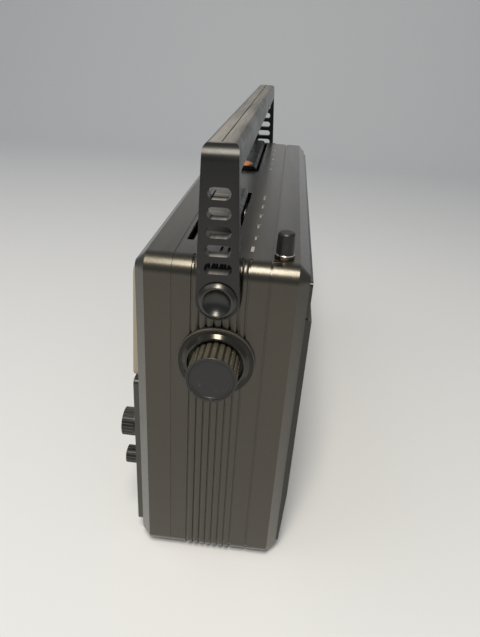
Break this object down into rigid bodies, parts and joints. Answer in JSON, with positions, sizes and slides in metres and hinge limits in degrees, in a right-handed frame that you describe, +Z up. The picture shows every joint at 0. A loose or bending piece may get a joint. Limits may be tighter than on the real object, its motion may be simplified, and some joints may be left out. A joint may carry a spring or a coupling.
{
  "type": "radio cassette recorder",
  "caption": "Portable radio cassette recorder with ribbed ends, slotted swing handle, band and tape keys on top, end tuning knob, telescopic aerial and front cassette bay.",
  "frame": {"origin": "on the floor under the middle of the case", "axes": "+X along the case to the end with the tuning knob, -Y to the front, +Z up"},
  "size_m": [0.3788, 0.1033, 0.2531],
  "materials": {
    "case_plastic": "satin bronze-grey moulding",
    "frame_plastic": "satin bronze-grey moulding",
    "panel_plastic": "dark bronze, louvred",
    "dial_clear": "clear with a cream edge",
    "dial_print": "printed scale",
    "pointer_red": "red",
    "cord": "braided cord",
    "drum_plastic": "natural nylon",
    "black_plastic": "satin black",
    "knob_disc": "dark with a thin bright rim",
    "pivot_black": "satin black",
    "key_grey": "grey, bright edges",
    "key_black": "black",
    "switch_plastic": "plain",
    "steel": "plated steel",
    "smoked_clear": "smoked",
    "rubber_black": "black",
    "brass_part": "turned",
    "cone_paper": "black paper",
    "bright_metal": "bright",
    "can_metal": "plain",
    "board": "resin board with its components",
    "ferrite": "dark ferrite",
    "iron_core": "laminated core and coil"
  },
  "bodies": {
    "case": {"front_shell": "case_plastic", "centre_frame": "frame_plastic", "rear_shell": "case_plastic", "front_panel": "panel_plastic", "dial_window": "dial_clear", "dial_scale": "dial_print", "dial_cord": "cord", "tuning_capacitor": "can_metal", "tuning_bezel": "black_plastic", "handle_pivots": "pivot_black", "band_switch": "switch_plastic", "tape_key_shaft": "steel", "deck_plate": "steel", "motor": "steel", "drive_belt": "rubber_black", "speaker_basket": "steel", "speaker_cone": "cone_paper", "control_pots": "can_metal", "aerial_tube": "bright_metal", "battery_box": "black_plastic", "battery_contacts": "bright_metal", "main_board": "board", "ferrite_rod": "ferrite", "transformer": "iron_core", "rear_sockets": "black_plastic", "case_screws": "steel", "feet": "rubber_black"},
    "handle": {"handle": "black_plastic"},
    "tuning": {"tuning_knob": "black_plastic", "tuning_knob_disc": "knob_disc", "tuning_shaft": "steel"},
    "drum": {"tuning_drum": "drum_plastic"},
    "pointer": {"dial_pointer": "pointer_red"},
    "volume": {"volume_knob": "black_plastic", "volume_spindle": "steel"},
    "tone": {"tone_knob": "black_plastic", "tone_spindle": "steel"},
    "cassette_door": {"cassette_door": "black_plastic", "cassette_window": "smoked_clear"},
    "head_bridge": {"head_bridge": "steel"},
    "pinch_roller": {"pinch_roller": "rubber_black"},
    "supply_spindle": {"supply_spindle": "drum_plastic"},
    "takeup_spindle": {"takeup_spindle": "drum_plastic"},
    "flywheel": {"flywheel": "steel"},
    "motor_pulley": {"motor_pulley": "brass_part"},
    "battery_door": {"battery_door": "panel_plastic"},
    "aerial_section": {"aerial_section": "bright_metal"},
    "aerial_rod": {"aerial_rod": "bright_metal", "aerial_cap": "black_plastic"},
    "band_key_1": {"band_key_1": "key_grey"},
    "band_key_2": {"band_key_2": "key_grey"},
    "band_key_3": {"band_key_3": "key_grey"},
    "band_key_4": {"band_key_4": "key_grey"},
    "band_key_5": {"band_key_5": "key_grey"},
    "tape_key_record": {"tape_key_record": "key_black"},
    "tape_key_play": {"tape_key_play": "key_black"},
    "tape_key_rewind": {"tape_key_rewind": "key_black"},
    "tape_key_forward": {"tape_key_forward": "key_black"},
    "tape_key_stop": {"tape_key_stop": "key_black"},
    "tape_key_pause": {"tape_key_pause": "key_black"}
  },
  "joints": [
    {"name": "handle_swing", "type": "hinge", "parent": "case", "child": "handle", "pos_m": [0, 0, 0.1822], "axis": [1, 0, 0], "range_deg": [-91.4, 88.6]},
    {"name": "tuning_turn", "type": "hinge", "parent": "case", "child": "tuning", "pos_m": [0.18, 0, 0.1442], "axis": [-1, 0, 0], "range_deg": [0, 1080]},
    {"name": "drum_turn", "type": "hinge", "parent": "case", "child": "drum", "pos_m": [0.113, -0.0308, 0.1437], "axis": [0, -1, 0], "range_deg": [0, 180.01]},
    {"name": "pointer_slide", "type": "slide", "parent": "case", "child": "pointer", "axis": [-1, 0, 0], "range_m": [0, 0.088]},
    {"name": "volume_turn", "type": "hinge", "parent": "case", "child": "volume", "pos_m": [0.1535, -0.05, 0.0806], "axis": [0, 1, 0], "range_deg": [-150, 150]},
    {"name": "tone_turn", "type": "hinge", "parent": "case", "child": "tone", "pos_m": [0.1535, -0.05, 0.0544], "axis": [0, 1, 0], "range_deg": [-150, 150]},
    {"name": "band_key_1_press", "type": "slide", "parent": "case", "child": "band_key_1", "axis": [0, 0, 1], "range_m": [0, 0.005]},
    {"name": "band_key_2_press", "type": "slide", "parent": "case", "child": "band_key_2", "axis": [0, 0, -1], "range_m": [0, 0.005], "stiffness_N_per_m": 200, "springref_m": -0.002},
    {"name": "band_key_3_press", "type": "slide", "parent": "case", "child": "band_key_3", "axis": [0, 0, -1], "range_m": [0, 0.005], "stiffness_N_per_m": 200, "springref_m": -0.002},
    {"name": "band_key_4_press", "type": "slide", "parent": "case", "child": "band_key_4", "axis": [0, 0, -1], "range_m": [0, 0.005], "stiffness_N_per_m": 200, "springref_m": -0.002},
    {"name": "band_key_5_press", "type": "slide", "parent": "case", "child": "band_key_5", "axis": [0, 0, -1], "range_m": [0, 0.005], "stiffness_N_per_m": 200, "springref_m": -0.002},
    {"name": "tape_key_record_press", "type": "hinge", "parent": "case", "child": "tape_key_record", "pos_m": [-0.03945, 0.016, 0.1885], "axis": [1, 0, 0], "range_deg": [0, 8], "stiffness_Nm_per_rad": 0.35, "springref_deg": -8.59},
    {"name": "tape_key_play_press", "type": "hinge", "parent": "case", "child": "tape_key_play", "pos_m": [-0.06135, 0.016, 0.1885], "axis": [1, 0, 0], "range_deg": [0, 8], "stiffness_Nm_per_rad": 0.35, "springref_deg": -8.59},
    {"name": "tape_key_rewind_press", "type": "hinge", "parent": "case", "child": "tape_key_rewind", "pos_m": [-0.08325, 0.016, 0.1885], "axis": [1, 0, 0], "range_deg": [0, 8], "stiffness_Nm_per_rad": 0.35, "springref_deg": -8.59},
    {"name": "tape_key_forward_press", "type": "hinge", "parent": "case", "child": "tape_key_forward", "pos_m": [-0.10515, 0.016, 0.1885], "axis": [1, 0, 0], "range_deg": [0, 8], "stiffness_Nm_per_rad": 0.35, "springref_deg": -8.59},
    {"name": "tape_key_stop_press", "type": "hinge", "parent": "case", "child": "tape_key_stop", "pos_m": [-0.12705, 0.016, 0.1885], "axis": [1, 0, 0], "range_deg": [0, 8], "stiffness_Nm_per_rad": 0.35, "springref_deg": -8.59},
    {"name": "tape_key_pause_press", "type": "hinge", "parent": "case", "child": "tape_key_pause", "pos_m": [-0.14895, 0.016, 0.1885], "axis": [1, 0, 0], "range_deg": [0, 8], "stiffness_Nm_per_rad": 0.35, "springref_deg": -8.59},
    {"name": "bridge_slide", "type": "slide", "parent": "case", "child": "head_bridge", "axis": [0, 0, 1], "range_m": [0, 0.00301]},
    {"name": "pinch_spin", "type": "hinge", "parent": "head_bridge", "child": "pinch_roller", "pos_m": [-0.073, -0.0304, 0.11985], "axis": [0, 1, 0], "continuous": true},
    {"name": "supply_spin", "type": "hinge", "parent": "case", "child": "supply_spindle", "pos_m": [-0.11525, -0.028, 0.1504], "axis": [0, 1, 0], "continuous": true},
    {"name": "takeup_spin", "type": "hinge", "parent": "case", "child": "takeup_spindle", "pos_m": [-0.07275, -0.028, 0.1504], "axis": [0, 1, 0], "continuous": true},
    {"name": "flywheel_spin", "type": "hinge", "parent": "case", "child": "flywheel", "pos_m": [-0.073, -0.017, 0.1284], "axis": [0, 1, 0], "continuous": true},
    {"name": "pulley_spin", "type": "hinge", "parent": "case", "child": "motor_pulley", "pos_m": [-0.132, -0.017, 0.1284], "axis": [0, 1, 0], "continuous": true},
    {"name": "door_open", "type": "hinge", "parent": "case", "child": "cassette_door", "pos_m": [-0.094, -0.0451, 0.1129], "axis": [1, 0, 0], "range_deg": [0, 36]},
    {"name": "battery_door_off", "type": "slide", "parent": "case", "child": "battery_door", "axis": [0, 1, 0], "range_m": [0, 0.06]},
    {"name": "aerial_section_slide", "type": "slide", "parent": "case", "child": "aerial_section", "axis": [0, 0, 1], "range_m": [0, 0.118]},
    {"name": "aerial_rod_slide", "type": "slide", "parent": "aerial_section", "child": "aerial_rod", "axis": [0, 0, 1], "range_m": [0, 0.118]}
  ],
  "couplings": [
    {"joint": "drum_turn", "follows": "tuning_turn", "ratio": 0.16667},
    {"joint": "pointer_slide", "follows": "tuning_turn", "m_per_rad": 0.004667},
    {"joint": "bridge_slide", "follows": "tape_key_play_press", "m_per_rad": 0.021486},
    {"joint": "pulley_spin", "follows": "flywheel_spin", "ratio": 4.6667}
  ]
}
